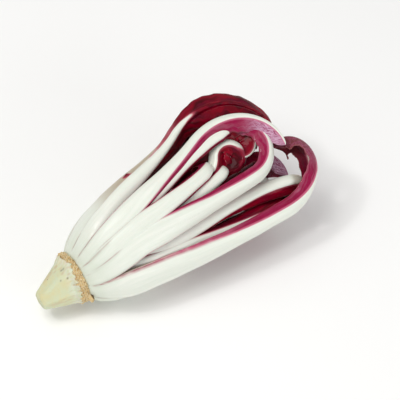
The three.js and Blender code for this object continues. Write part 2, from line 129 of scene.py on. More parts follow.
# ---------------------------------------------------------------- leaves
# Each leaf's first two rows are the line of its solid: the stalk, then the hook. Then comes the section
# across it, and in the last row how it is coloured. A pair is one value for each side, or a share and where
# on the hook it begins.
# - fan: how much wider the blades grow on the hook; narrowing: how much narrower they are at its end
# - reach: how near they may come to the hook's middle; curve: how far they arch inwards, in degrees
# - ruffle, pleats: how wavy and how pleated they are; nub: the place of a nub
# - dark: the blades' colour, from magenta 0 to wine 1; deep: from where on the hook it is wine
# - lav, brown: share of lavender or brown on the blades, and from where on the hook
# - flush: from where to where on the hook the rib turns wine; point: how far its edges lead
# - onset: where on the stalk the blades' colour begins
# - tan, hook_shade: share of tan on the rib, all along, or only on the hook as painted shade; margin: share
#   of the edge's colour
NEAR_LEAVES = [
    dict(name="leaf_spiral", crown=(108, 1), belly=(54, -3, 37), knee=(153, -3, 36),
         aim=(3, -2), curl=0, radii=(27, 13), turn=252, drift=-12, roll=-42, twist=20,
         rib=(20, 8), taper=(0.62, 0.14), blade=(8.5, 8), fold=(80, 70), ruffle=0.3,
         dark=0.1, deep=0.57, lav=(0.5, 0.45)),
    dict(name="leaf_arch", crown=(72, 1), belly=(50, 20, 36), knee=(125, 43, 35),
         aim=(22, 0), curl=180, radii=(57, 27), turn=122, drift=0, roll=42,
         rib=(16, 7), taper=(0.5, 0.12), blade=(6, 11), fold=(60, 72), ruffle=0.5,
         dark=0.12, lav=(0.95, 0.38)),
    dict(name="leaf_snail", crown=(85, 3), belly=(66, 16, 14), knee=(134.2, 25.0, 27),
         aim=(60, 0), curl=180, radii=(11.8, 10.8), turn=305, drift=-2, roll=40, twist=5,
         rib=(12, 5), taper=(0.75, 0.25), blade=(14, 16), fold=(80, 28), reach=1.12, curve=14,
         narrowing=0.1, ruffle=0.1,
         dark=1.0, flush=(0.4, 0.6), margin=0),
    dict(name="leaf_rolled", crown=(60, 3), belly=(66, 14, 10), knee=(154.5, 38.5, 25),
         aim=(6, 4), curl=180, radii=(14, 10), turn=250, drift=-4, roll=8, twist=14,
         rib=(8, 5), taper=(0.4, 0.3), blade=(20, 21), fold=(80, 84), reach=1.1, curve=20,
         narrowing=0.2, ruffle=0.25,
         dark=1.0, margin=0.5),
    # its lavender is partly its own colour and partly a painted lilac highlight on the band
    dict(name="leaf_outer", crown=(142, 1), belly=(46, -27, 23), knee=(163.7, -37, 27),
         aim=(0, 2), curl=0, radii=(49, 8), turn=215, drift=-14, roll=-38, twist=78,
         rib=(23, 9), taper=(0.5, 0.12), blade=(11, 8), fold=(76, 66), fan=0.9, reach=1.3, ruffle=0.9,
         dark=0.15, lav=(0.25, 0.2), brown=(0.9, 0.3), flush=(0.3, 0.5), onset=(0.5, 0.5)),
    dict(name="leaf_short_a", crown=(91, 1), belly=(52, 8, 38), knee=(119, 18, 37),
         aim=(12, -12), curl=-90, radii=(11, 8), turn=190, drift=4, roll=0,
         rib=(16, 8), taper=(0.6, 0.35), blade=(7, 8), fold=(70, 40),
         dark=0.4),
    dict(name="leaf_tall", crown=(49, 1), belly=(50, 32, 26), knee=(118, 55, 25),
         aim=(29, -2), curl=195, radii=(54, 46), turn=106, drift=-8, roll=62,
         rib=(14, 7), taper=(0.42, 0.12), blade=(9.5, 17), fold=(22, 20), narrowing=0.35, ruffle=0.12,
         pleats=0.2,
         dark=1.0, flush=(0.08, 0.2), point=1.5, onset=(0.78, 0.22)),
    dict(name="leaf_short_b", crown=(98, 2), belly=(60, 4, 28), knee=(130.5, 10.5, 33),
         aim=(14, -8), curl=-90, radii=(9, 7), turn=190, drift=4, roll=0,
         rib=(13, 7), taper=(0.66, 0.35), blade=(7, 8), fold=(40, 50),
         dark=0.6),
    dict(name="leaf_under_arch", crown=(66, 2), belly=(60, 18, 33), knee=(146, 38.5, 33),
         aim=(2, 0), curl=-100, radii=(13, 8), turn=190, drift=5, roll=0,
         rib=(13, 6.5), taper=(0.75, 0.3), blade=(5, 4), fold=(70, 40),
         dark=0.7),
    dict(name="leaf_wedge", crown=(124, 2), belly=(60, -20, 25), knee=(160, -31, 17),
         aim=(-2, -6), curl=-75, radii=(22, 12), turn=130, drift=0, roll=10,
         rib=(15, 7), taper=(0.35, 0.2), blade=(13, 6), fold=(12, 60),
         dark=0.9, flush=(-0.1, 0.0)),
    dict(name="leaf_back_top", crown=(18, 1), belly=(50, 37, 10), knee=(120, 55, 6),
         aim=(27, -2), curl=190, radii=(52, 22), turn=150, drift=-6, roll=20,
         rib=(18, 7), blade=(9, 10), fold=(40, 40), ruffle=0.5, nub=(73.5, 45.6, 11),
         dark=1.0, flush=(0.1, 0.4), tan=0.95),
    # its hook is tinted tan as painted shade
    dict(name="leaf_low_inner", crown=(114, 3), belly=(62, -12, 27), knee=(178, -18, 22),
         aim=(-16, -3), curl=-110, radii=(14, 8), turn=190, drift=0, roll=0,
         rib=(14, 7), taper=(0.66, 0.3), blade=(8, 14), fold=(60, 15),
         dark=0.9, hook_shade=0.45),
    dict(name="leaf_curtain", crown=(340, 3), belly=(62, 4, -4), knee=(163, 13, 5),
         aim=(2, 2), curl=180, radii=(21, 22), turn=110, drift=2, roll=10,
         rib=(9, 5), blade=(16, 9), fold=(86, 75), reach=1.0, ruffle=1.2,
         dark=0.8, lav=(0.95, 0.3), flush=(-0.4, -0.15)),
]
RINGS = [
    dict(name="leaf_far", azimuths=(176, 208, 238, 267, 295, 321, 348), ring=1, belly=35, bellyX=55,
         knee=46, kneeX=138, radii=(27, 9), turn=215, rib=(20, 8), blade=10, dark=0.25, flush=(2, 3)),
    dict(name="leaf_mid", azimuths=(157, 205, 250, 296, 338), ring=2, belly=23, bellyX=62,
         knee=28, kneeX=129, radii=(17, 7), turn=200, rib=(12, 6), blade=10, dark=0.7, flush=(-0.3, 0.0)),
    dict(name="leaf_core", azimuths=(190, 270), ring=3, belly=12, bellyX=66,
         knee=14, kneeX=112, radii=(12, 6), turn=180, rib=(8, 5), blade=9, dark=0.9, flush=(-0.4, -0.1)),
]
FLARE, FAR_FOLD = 9, 62  # degrees
# how much the leaves of a ring differ from one another
SPREAD = dict(azimuth=5, kneeX=9, curl=38, radii=0.12, turn=35, drift=6, blade=1.5, fold=10)


def far_leaves():
    """The leaves on the hidden side, evenly round the head with the same small differences as the solids."""
    leaves, seed = [], 1
    for ring in RINGS:
        for i, azimuth in enumerate(ring["azimuths"]):
            knee = around(azimuth + SPREAD["azimuth"] * draw(seed), ring["knee"],
                          ring["kneeX"] + SPREAD["kneeX"] * draw(seed + 1)) + KNEE_OFFSET
            swing = SPREAD["curl"] * draw(seed + 2)
            leaves.append(dict(
                name=f"{ring['name']}_{i + 1}", crown=(azimuth, ring["ring"]),
                belly=settled(around(azimuth, ring["belly"], ring["bellyX"]) + BELLY_OFFSET, BELLY_SEAT),
                knee=settled(knee, KNEE_SEAT),
                aim=(FLARE * np.cos(np.radians(azimuth)), FLARE * np.sin(np.radians(azimuth))),
                curl=azimuth + 180 + swing,
                radii=[r * (1 + SPREAD["radii"] * draw(seed + 3)) for r in ring["radii"]],
                turn=ring["turn"] + SPREAD["turn"] * draw(seed + 4),
                drift=SPREAD["drift"] * draw(seed + 5),
                roll=-0.5 * swing, rib=ring["rib"],
                blade=(ring["blade"], ring["blade"] + SPREAD["blade"] * draw(seed + 6)),
                fold=[FAR_FOLD + SPREAD["fold"] * draw(seed + k) for k in (7, 8)],
                dark=ring["dark"] + 0.25 * draw(seed + 9), flush=ring["flush"], ruffle=0.6, step=FAR_STEP))
            seed += 10
    return leaves


def stalk_rows(leaf, aim, curl, step):
    """Place, tangent, back and u of the rows from the collar over the belly to the knee."""
    azimuth, ring = leaf["crown"]
    root_x, root_radius = CROWN_RINGS[ring]
    splay = np.radians(CROWN_SPLAY / ring**0.7)
    root = around(azimuth, root_radius, root_x)
    start = around(azimuth, np.sin(splay), np.cos(splay))
    belly, knee = np.array(leaf["belly"], float), np.array(leaf["knee"], float)
    lean = unit(0.25 * unit(belly - root) + unit(knee - belly))
    near, far = np.linalg.norm(belly - root), np.linalg.norm(knee - belly)

    def line(u):
        lower = hermite(root, start * near, belly, lean * near, u * 2)
        upper = hermite(belly, lean * far, knee, aim * far, u * 2 - 1)
        return np.where((u < 0.5)[:, None], lower, upper)

    u = np.linspace(0, 1, int((near + far) / (step * 1.6)))
    tangent = unit(line(np.minimum(1, u + 0.004)) - line(np.maximum(0, u - 0.004)))
    radial = around(azimuth, 1, 0)
    s = (smooth(u) ** 2)[:, None]
    back = across(radial * (1 - s) - curl * s, tangent)
    return line(u), tangent, back, u


def hook_rows(leaf, aim, curl, step):
    """Place, tangent, back, h and bend radius of the rows on the hook, which is a spiral."""
    turn = np.radians(leaf["turn"])
    r0, r1 = leaf["radii"]
    length = turn * np.sqrt(r0 * r1)
    count = int(max(length / step, 24))
    h = np.arange(1, count + 1) / count
    radius = r0 * (r1 / r0) ** (h - 0.5 / count)
    angle = turn * (h - 0.5 / count)
    ds = radius * turn / count
    steps = (aim * np.cos(angle)[:, None] + curl * np.sin(angle)[:, None]) * ds[:, None]
    drift = np.cross(aim, curl) * leaf["drift"] / count
    at = np.array(leaf["knee"], float) + np.cumsum(steps + drift, axis=0)
    theta = (turn * h)[:, None]
    tangent = aim * np.cos(theta) + curl * np.sin(theta)
    back = aim * np.sin(theta) - curl * np.cos(theta)
    return at, tangent, back, h, radius


def stations(leaf):
    """Rows along a leaf: place, back, side, length so far, u on the stalk, h on the hook, bend radius."""
    heading, rise = np.radians(leaf["aim"])
    aim = np.array([np.cos(heading) * np.cos(rise), np.sin(heading) * np.cos(rise), np.sin(rise)])
    curl = across(around(leaf["curl"], 1, 0), aim)
    step = leaf.get("step", ROW_STEP)
    at, tangent, back, u = stalk_rows(leaf, aim, curl, step)
    hook_at, hook_tangent, hook_back, h, radius = hook_rows(leaf, aim, curl, step)
    at = np.vstack([at, hook_at])
    tangent = np.vstack([tangent, hook_tangent])
    back = np.vstack([back, hook_back])
    twisted = leaf["roll"] + leaf.get("twist", 0) * smooth(h / TWIST_SPAN)
    roll = np.concatenate([np.radians(leaf["roll"]) * smooth(u), np.radians(twisted)])
    side = np.cross(tangent, back)
    back = back * np.cos(roll)[:, None] + side * np.sin(roll)[:, None]
    side = np.cross(tangent, back)
    run = np.concatenate([[0], np.cumsum(np.linalg.norm(np.diff(at, axis=0), axis=1))])
    return dict(at=at, back=back, side=side, run=run,
                u=np.concatenate([u, np.ones(len(h))]), h=np.concatenate([np.zeros(len(u)), h]),
                radius=np.concatenate([np.full(len(u), STRAIGHT), radius]))


def waves(rng, run, lengths, decay=1.0):
    """A smooth uneven line along a leaf: a sum of sines of about these lengths in mm."""
    total = np.zeros_like(run)
    for k, length in enumerate(lengths):
        turns = 2 * np.pi * run / (length * rng.uniform(0.85, 1.15))
        total += decay**k * np.sin(turns + rng.uniform(0, 6.28))
    return total / sum(decay**k for k in range(len(lengths)))


BACK_POINTS, FRONT_POINTS, BLADE_POINTS = 15, 6, 9
BLADE_THICK = (1.15, 0.42)  # mm, at the rib and at the margin
OPENING_BEND = 1.6  # how late along the stalk the blades open
OPEN_AT_KNEE, OPENING_RATE = 0.5, 2.6  # share of their width at the knee, and how soon they get the rest
CLOSING_FROM, CLOSING_SPAN = 0.93, 0.07  # where on the hook the rounded tip begins, and its length
FOLD_SWING = 5  # degrees that a blade's fold wavers along the leaf
FUSED = (0.03, 0.27)  # along the stalks of the outer ring, where their backs leave the common swelling
LOW_STALK = 0.62  # how far up the stalk the line of a back is kept for it
CREASE_SINK = 2.4  # mm that a back falls away to its sides there
NEIGHBOUR = 17.0  # degrees that the common swelling blends over
FAR_APART = 9.0  # stands for no neighbour near
swellings = []  # outer leaves' backs: x, azimuth, radius and half width in degrees, along each


def rib_sizes(leaf, u, h):
    """Width and height of the rib along a leaf, in mm."""
    at_knee, at_tip = leaf.get("taper", RIB_WIDTHS[2:])
    at_collar, at_belly = RIB_WIDTHS[:2]
    width = np.where(u < 0.5, mix(at_collar, at_belly, smooth(np.minimum(1, u * 3))),
                     mix(at_belly, mix(at_knee, at_tip, h), smooth(u * 2 - 1)))
    at_collar, at_belly, at_knee, at_tip = RIB_HEIGHTS
    thick = np.where(u < 0.5, mix(at_collar, at_belly, smooth(u * 2)),
                     mix(at_belly, mix(at_knee, at_tip, h), np.clip(u * 2 - 1, 0, 1)))
    own_width, own_height = leaf["rib"]
    return np.maximum(RIB_LEAST[0], own_width * width), np.maximum(RIB_LEAST[1], own_height * thick)


def note_swelling(leaf):
    """Keeps the line of an outer leaf's back, low on its stalk, for the common surface of the bases."""
    rows = stations(leaf)
    low = rows["u"] < LOW_STALK
    rib, height = rib_sizes(leaf, rows["u"], rows["h"])
    back = (rows["at"] + rows["back"] * (0.6 * height)[:, None])[low]
    azimuth = leaf["crown"][0]
    turned = np.degrees(np.arctan2(back[:, 2], back[:, 1])) - azimuth
    radius = np.hypot(back[:, 1], back[:, 2])
    half = np.degrees(0.5 * rib[low] / radius)
    swellings.append((back[:, 0], azimuth + (turned + 180) % 360 - 180, radius, half))


def swelling(x, azimuth, own):
    """Radius of the leaf bases' common surface, and how far a place is from the crease with a neighbour."""
    total, weight = 0, 1e-6
    nearest, mine = np.full_like(x, FAR_APART), np.full_like(x, FAR_APART)
    for number, (xs, azimuths, radii, halves) in enumerate(swellings):
        off = (azimuth - np.interp(x, xs, azimuths) + 180) % 360 - 180
        share = np.exp(-(off / NEIGHBOUR) ** 2)
        total = total + share * np.interp(x, xs, radii)
        weight = weight + share
        off = np.abs(off) / np.interp(x, xs, halves)
        if number == own:
            mine = off
        else:
            nearest = np.minimum(nearest, off)
    return total / weight, nearest - mine


def section_sizes(leaf, rows, rng):
    """Adds to the rows how far the blades are open, how the tip closes, and the rib's width and height."""
    u, h, run = rows["u"], rows["h"], rows["run"]
    opened = smooth(u * 2 - 1) ** OPENING_BEND * mix(OPEN_AT_KNEE, 1, smooth(h * OPENING_RATE))
    close = np.sqrt(np.clip(1 - ((h - CLOSING_FROM) / CLOSING_SPAN).clip(0, 1) ** 2, 0.02, 1))
    rib, height = rib_sizes(leaf, u, h)
    rib = rib * (1 + 0.03 * waves(rng, run, (61, 33))) * close
    height = height * (1 + 0.04 * waves(rng, run, (53, 27))) * close
    rows.update(opened=opened, close=close, rib=rib, height=height)


def blade_faces(leaf, k, rows, rng):
    """The outer and the inner face of one blade: where their columns lie in the section, rib to margin."""
    h, run, opened, close = rows["h"], rows["run"], rows["opened"], rows["close"]
    sign = (-1.0, 1.0)[k]
    ruffle = leaf.get("ruffle", 0.4)
    # how steeply the blade folds off the rib, and how wide it is
    fold = np.radians(mix(MEMBRANE_FOLD, leaf["fold"][k], opened))
    fold = fold + np.radians(FOLD_SWING) * opened * waves(rng, run, (38, 21)) * min(1, 2 * ruffle)
    reach = (leaf.get("reach", BLADE_REACH) * rows["radius"] - 0.4 * rows["height"]) / np.sin(fold)
    open_wide = leaf["blade"][k] * (1 + leaf.get("fan", 0) * smooth(h * 3 - 1.5))
    tip = 1 - leaf.get("narrowing", 0.6) * smooth(h * 5 - 4)
    wide = mix(SLIM_MARGIN, open_wide, opened * tip)
    wide = np.minimum(wide, np.maximum(SLIM_MARGIN, reach)) * close
    wide = wide * (1 + 0.06 * opened * waves(rng, run, (19, 9)))
    # its arch with pleats, from the rib outwards
    bow = np.radians(leaf.get("curve", 34)) * opened
    amount = ruffle * mix(0.25, 1, smooth(h * 1.6)) * opened
    big = waves(rng, run, (17, 11, 7), 0.6)
    fine = waves(rng, run, (4.6, 3.1), 0.7)
    pleat = waves(rng, run, (47, 29))
    point = np.stack([sign * 0.5 * rows["rib"], 0.02 * rows["height"]], -1)
    outer, normals = [point], []
    for j in range(1, BLADE_POINTS + 1):
        t = (j - 0.5) / BLADE_POINTS
        angle = fold + bow * (t - 0.45) + leaf.get("pleats", 0.12) * pleat * opened * np.sin(t * 7)
        onward = np.stack([sign * np.cos(angle), -np.sin(angle)], -1)
        point = point + onward * (wide / BLADE_POINTS)[:, None]
        outer.append(point)
        normals.append(np.stack([sign * np.sin(angle), np.cos(angle)], -1))
    normals = [normals[0]] + normals
    # ruffles, and the thickness
    inner = []
    for j in range(BLADE_POINTS + 1):
        t = j / BLADE_POINTS
        rise = wide * amount * (0.10 * t**1.3 * big + 0.035 * t**3 * fine)
        outer[j] = outer[j] + normals[j] * rise[:, None]
        thick = mix(*BLADE_THICK, smooth(t)) * np.maximum(close, 0.3)
        inner.append(outer[j] - normals[j] * thick[:, None])
    return outer, inner


def section_columns(rows, blades):
    """Once round the leaf: where each column of the skin lies in the section, and what it is."""
    rib, height = rows["rib"], rows["height"]
    columns = []  # along the side, along the back
    masks = []  # across the rib, across the blade, on the inner face

    def column(a, b, rib_at, blade_at, inner):
        columns.append(np.stack([a, b], -1))
        masks.append((rib_at, blade_at, inner))

    def back_arc(start, stop):
        """The rounded back; the angles count from its ridge."""
        for phi in np.linspace(start, stop, BACK_POINTS // 2):
            x, y = np.sin(phi), np.cos(phi)
            a = 0.5 * rib * np.sign(x) * abs(x) ** 0.86
            b = height * (0.02 + 0.58 * abs(y) ** 0.9)
            column(a, b, x, 0.0, 0.0)

    def blade_face(face, order, side, inner):
        for j in order:
            column(face[j][:, 0], face[j][:, 1], side, j / BLADE_POINTS, inner)

    def rib_front(first, last):
        """The hollow front of the rib, from one blade's inner face to the other's."""
        for k in range(1, FRONT_POINTS):
            t = k / FRONT_POINTS
            flat = mix(first, last, t)
            bulge = np.sin(np.pi * t) ** 0.7
            column(flat[:, 0], mix(flat[:, 1], -0.4 * height, bulge), 1 - 2 * t, 0.0, 1.0)

    to_margin, to_rib = range(BLADE_POINTS + 1), range(BLADE_POINTS, -1, -1)
    (outer_a, inner_a), (outer_b, inner_b) = blades
    half = np.pi / 2
    gap = half / BACK_POINTS
    back_arc(0, half - gap)
    blade_face(outer_b, to_margin, 1.0, 0.0)
    blade_face(inner_b, to_rib, 1.0, 1.0)
    rib_front(inner_b[0], inner_a[0])
    blade_face(inner_a, to_margin, -1.0, 1.0)
    blade_face(outer_a, to_rib, -1.0, 0.0)
    back_arc(-half + gap, -gap)
    return np.stack(columns, 1), np.array(masks)


def join_bases(leaf, points, masks, u):
    """The bases of the outer leaves swell into one another, with shallow creases between them."""
    if leaf["crown"][1] != 1:
        return points, np.full(points.shape[:2], FAR_APART)
    own = [k for k, other in enumerate(OUTER_LEAVES) if other["name"] == leaf["name"]][0]
    x, y, z = points[..., 0], points[..., 1], points[..., 2]
    radius, azimuth = np.hypot(y, z), np.arctan2(z, y)
    common, apart = swelling(x, np.degrees(azimuth), own)
    outside = ((masks[:, 1] == 0) & (masks[:, 2] == 0))[None]
    share = (1 - smooth((u - FUSED[0]) / (FUSED[1] - FUSED[0])))[:, None] * outside
    radius = mix(radius, common - CREASE_SINK * np.abs(masks[:, 0][None]) ** 4, share)
    return np.stack([x, radius * np.cos(azimuth), radius * np.sin(azimuth)], -1), apart


def leaf_arrays(leaf, rng):
    """Vertices (rows x columns x 3) in the head frame, the rows, and what each column is."""
    rows = stations(leaf)
    section_sizes(leaf, rows, rng)
    blades = [blade_faces(leaf, k, rows, rng) for k in (0, 1)]
    section, masks = section_columns(rows, blades)
    points = rows["at"][:, None] + section[..., :1] * rows["side"][:, None]
    points = points + section[..., 1:] * rows["back"][:, None]
    points, apart = join_bases(leaf, points, masks, rows["u"])
    return points, rows, masks, apart


def dyes(leaf, masks, rows, apart, rng):
    """What colours the leaf, at each vertex, in three attributes of four values.

    They are pigment, dark, lavender, tan; green, inner, brown, margin; crease, apart, stalk, joined.
    """
    u, h = rows["u"][:, None], rows["h"][:, None]
    rib_at, blade_at, inner = masks[:, 0][None], masks[:, 1][None], masks[:, 2][None]
    wander = waves(rng, rows["run"], (41, 17, 9))[:, None]
    start, stop = leaf.get("flush", (2, 3))
    lead = (stop - start) * (leaf.get("point", 0.5) * (rib_at**2 - 0.5) + 0.25 * wander)
    flushed = smooth((u + h - 1 - start + lead) / (stop - start)) * (0.96 + 0.04 * np.abs(rib_at))
    onset = np.array(leaf.get("onset", (0.22, 0.22)))[(rib_at > 0).astype(int)]
    reach = smooth((u - onset + 0.05 * wander) / 0.4)
    pigment = smooth((blade_at + 0.04) / 0.1) * smooth((np.abs(rib_at) - 0.96) / 0.04) * reach
    pigment = np.maximum(pigment, flushed)
    everywhere = np.ones_like(pigment)
    deep = smooth((h - leaf.get("deep", 2)) / 0.15)
    dark = leaf.get("dark", 0.3) + 0.55 * inner + 0.12 * wander + deep
    dark = np.clip(dark, 0, 1) * everywhere
    amount, begin = leaf.get("lav", (0, 0.5))
    lavender = amount * smooth((h - begin) / 0.3) * (1 - deep) * (1 - 0.8 * inner) * everywhere
    tan = (1 - reach) * smooth((blade_at - 0.1) / 0.5) * smooth(u * 4)
    tan = np.maximum(tan, leaf.get("tan", 0) * smooth(u * 3 - 1))
    # painted shade: tan over the hook, from its start
    tan = np.maximum(tan, leaf.get("hook_shade", 0) * smooth((h + 0.04 * wander - 0.02) / 0.06))
    green = (1 - smooth(u * 3.2)) * (0.75 + 0.25 * wander) * everywhere
    amount, begin = leaf.get("brown", (0, 0.5))
    brown = amount * smooth((h - begin) / 0.25) * everywhere
    margin = leaf.get("margin", 1) * smooth((blade_at - 0.9) / 0.1) * np.ones_like(u)
    edge = smooth((np.abs(rib_at) - 0.9) / 0.08) * (blade_at < 0.01)
    edge = edge * (1 - 0.5 * inner) * (1 - smooth((u - 0.6) / 0.3))
    strength = smooth((u - 0.015 + 0.02 * wander) / 0.08) * np.clip(0.95 + 0.35 * wander, 0, 1)
    crease = edge * smooth((u - 0.12) / 0.2) * strength
    joined = strength * (1 - smooth((u - 0.26) / 0.1)) * everywhere
    first = np.stack([pigment, dark, lavender, tan], -1)
    second = np.stack([green, inner * everywhere, brown, margin], -1)
    third = np.stack([crease * everywhere, np.abs(apart), u * everywhere, joined], -1)
    return first.clip(0, 1), second.clip(0, 1), third.clip(0, 1)


def tube_faces(n, m):
    """Faces of a tube of n rows with m columns, and a fan over each end round the two last vertices."""
    i, j = np.meshgrid(np.arange(n - 1), np.arange(m), indexing="ij")
    k = (j + 1) % m
    corners = [i * m + j, i * m + k, (i + 1) * m + k, (i + 1) * m + j]
    faces = np.stack(corners, -1).reshape(-1, 4).tolist()
    last = (n - 1) * m
    faces += [[n * m, (j + 1) % m, j] for j in range(m)]
    faces += [[n * m + 1, last + j, last + (j + 1) % m] for j in range(m)]
    return faces


def with_middles(placed):
    """The vertices of a tube as one list, and the middle of each end after them."""
    rows = placed.reshape(-1, 3)
    m = placed.shape[1]
    return np.vstack([rows, rows[:m].mean(0), rows[-m:].mean(0)])


def add_mesh(name, points, faces, attributes, material):
    """A smooth object from its vertices and faces, with values at the vertices for its material."""
    mesh = bpy.data.meshes.new(name)
    mesh.from_pydata(points.tolist(), [], faces)
    for key, (kind, values) in attributes.items():
        layer = mesh.attributes.new(key, kind, "POINT")
        field = "color" if kind == "FLOAT_COLOR" else "vector"
        layer.data.foreach_set(field, np.ascontiguousarray(values, np.float32).ravel())
    mesh.materials.append(material)
    mesh.shade_smooth()
    mesh.validate()
    mesh.update()
    thing = bpy.data.objects.new(name, mesh)
    bpy.context.scene.collection.objects.link(thing)
    return thing


# ---------------------------------------------------------------- materials
class Graph:
    """A few short words for building a node tree."""

    def __init__(self, name):
        self.material = bpy.data.materials.new(name)
        self.material.use_nodes = True
        self.tree = self.material.node_tree
        self.shader = self.tree.nodes["Principled BSDF"]

    def node(self, kind, inputs=(), **settings):
        made = self.tree.nodes.new(kind)
        for key, value in settings.items():
            setattr(made, key, value)
        for key, value in dict(inputs).items():
            self.feed(made.inputs[key], value)
        return made

    def feed(self, socket, value):
        if isinstance(value, bpy.types.NodeSocket):
            self.tree.links.new(value, socket)
        else:
            socket.default_value = value

    def attribute(self, name):
        return self.node("ShaderNodeAttribute", attribute_name=name)

    def parts(self, name):
        """The four values of a colour attribute."""
        source = self.attribute(name)
        split = self.node("ShaderNodeSeparateColor", {"Color": source.outputs["Color"]})
        return [*split.outputs[:3], source.outputs["Alpha"]]

    def math(self, operation, a, b=0.0, clamp=False):
        return self.node("ShaderNodeMath", {0: a, 1: b}, operation=operation, use_clamp=clamp).outputs[0]

    def mixed(self, factor, a, b):
        """A colour from a to b."""
        made = self.node("ShaderNodeMix", data_type="RGBA", blend_type="MIX")
        for index, value in ((0, factor), (6, a), (7, b)):
            self.feed(made.inputs[index], (*value, 1) if isinstance(value, tuple) else value)
        return made.outputs[2]

    def noise(self, vector, scale, detail=3.0, rough=0.5, distort=0.0):
        return self.node("ShaderNodeTexNoise", {"Vector": vector, "Scale": scale, "Detail": detail,
                                                "Roughness": rough, "Distortion": distort}).outputs["Fac"]

    def stretch(self, vector, scale):
        return self.node("ShaderNodeMapping", {"Vector": vector, "Scale": scale}).outputs[0]

    def remap(self, value, low, high, to_low=0.0, to_high=1.0):
        return self.node("ShaderNodeMapRange", {"Value": value, "From Min": low, "From Max": high,
                                                "To Min": to_low, "To Max": to_high}).outputs[0]

    def bump(self, height, strength, distance):
        inputs = {"Height": height, "Strength": strength, "Distance": distance}
        return self.node("ShaderNodeBump", inputs).outputs[0]

    def soften(self, weight, radius):
        """Lets a little light pass through the surface."""
        self.shader.inputs["Subsurface Weight"].default_value = weight
        self.shader.inputs["Subsurface Radius"].default_value = radius
        self.shader.inputs["Subsurface Scale"].default_value = 0.5


# colours of the leaves
IVORY, IVORY_SHADE, IVORY_GREEN = (0.805, 0.82, 0.745), (0.69, 0.735, 0.645), (0.70, 0.76, 0.66)
BASE_GREEN = (0.61, 0.665, 0.54)
MAGENTA, MAGENTA_SHEEN = (0.29, 0.008, 0.058), (0.50, 0.15, 0.25)
WINE, WINE_BRIGHT = (0.068, 0.0008, 0.0045), (0.28, 0.0008, 0.015)
LAVENDER, LAVENDER_DEEP = (0.70, 0.47, 0.62), (0.33, 0.10, 0.20)
TAN, TAN_EDGE = (0.40, 0.30, 0.19), (0.22, 0.07, 0.08)
BROWN, VEIN, BLADE_EDGE = (0.17, 0.035, 0.035), (0.42, 0.10, 0.15), (0.36, 0.14, 0.13)
FRINGE, FRINGE_DARK = (0.62, 0.16, 0.27), (0.46, 0.07, 0.11)  # where the blades' colour meets the rib
CREASE_LOW, CREASE_HIGH = (0.42, 0.24, 0.23), (0.37, 0.08, 0.12)  # near the collar, and up the stalks
# painted shade for the creases between the leaf bases
VALLEY_SHADE = (0.53, 0.56, 0.47)
# colours of the taproot
PEELED_GREEN, PEELED_CREAM, PEELED_PALE = (0.60, 0.66, 0.47), (0.65, 0.61, 0.35), (0.76, 0.73, 0.68)
# the last is painted shade for the stub's open middle, and the colour of the specks
STAIN, PIT, HOLE_SHADE_AND_SPECK = (0.55, 0.40, 0.24), (0.16, 0.11, 0.05), (0.09, 0.05, 0.014)
CORK_PALE, CORK, CORK_SHRED = (0.80, 0.60, 0.30), (0.56, 0.37, 0.14), (0.88, 0.76, 0.52)
CORK_DARK, CORK_CRUMB = (0.40, 0.24, 0.08), (0.30, 0.17, 0.07)
# light through the skins: its share, and how far each colour goes
LEAF_DEPTH, ROOT_DEPTH = (0.05, (0.006, 0.004, 0.003)), (0.1, (0.006, 0.004, 0.002))


def rib_colour(g, grain, tan, fibre, ridge, streak, margin, green):
    """Ivory with watery ridges, greener towards the collar, with painted shade in the creases between the
    leaf bases.
    """
    crease, apart, stalk, joined = g.parts("touch")
    broad = g.noise(g.stretch(grain, (1.0, 3.0, 1.0)), 1.2, 3.0)
    watery = g.math("ADD", g.remap(streak, 0.35, 0.7, 0.0, 0.6), g.remap(ridge, 0.35, 0.7, 0.0, 0.25))
    rib = g.mixed(watery, IVORY, IVORY_SHADE)
    rib = g.mixed(g.remap(broad, 0.45, 0.75, 0.0, 0.3), rib, IVORY_GREEN)
    rib = g.mixed(g.math("MULTIPLY", green, 0.7), rib, BASE_GREEN)
    rib = g.mixed(g.math("MULTIPLY", tan, 0.9), rib, TAN)
    rib = g.mixed(g.math("MULTIPLY", g.math("MULTIPLY", tan, margin), 0.8), rib, TAN_EDGE)
    # creases between the leaf bases: painted shade in a soft valley, with a fine line in it
    line = g.mixed(g.remap(stalk, 0.08, 0.5), CREASE_LOW, CREASE_HIGH)
    seam = g.math("MULTIPLY", g.remap(apart, 0.21, 0.05), joined)
    drawn = g.math("MAXIMUM", crease, seam)
    valley_shade = g.math("MULTIPLY", g.math("POWER", g.remap(apart, 0.75, 0.0), 2.0), joined)
    rib = g.mixed(g.math("MULTIPLY", valley_shade, 0.85), rib, VALLEY_SHADE)
    return g.mixed(g.math("MULTIPLY", drawn, g.remap(fibre, 0.3, 0.6, 0.75, 1.0)), rib, line)


def vein_net(g, grain):
    """A faint net of veins over the blades."""
    slant = g.node("ShaderNodeVectorRotate", {"Vector": grain, "Angle": 0.5}, rotation_type="Z_AXIS")
    cells = {"Vector": g.stretch(slant.outputs[0], (0.8, 1.8, 1.0)), "Scale": 2.2}
    net = g.node("ShaderNodeTexVoronoi", cells, feature="DISTANCE_TO_EDGE").outputs["Distance"]
    return g.remap(net, 0.09, 0.0)


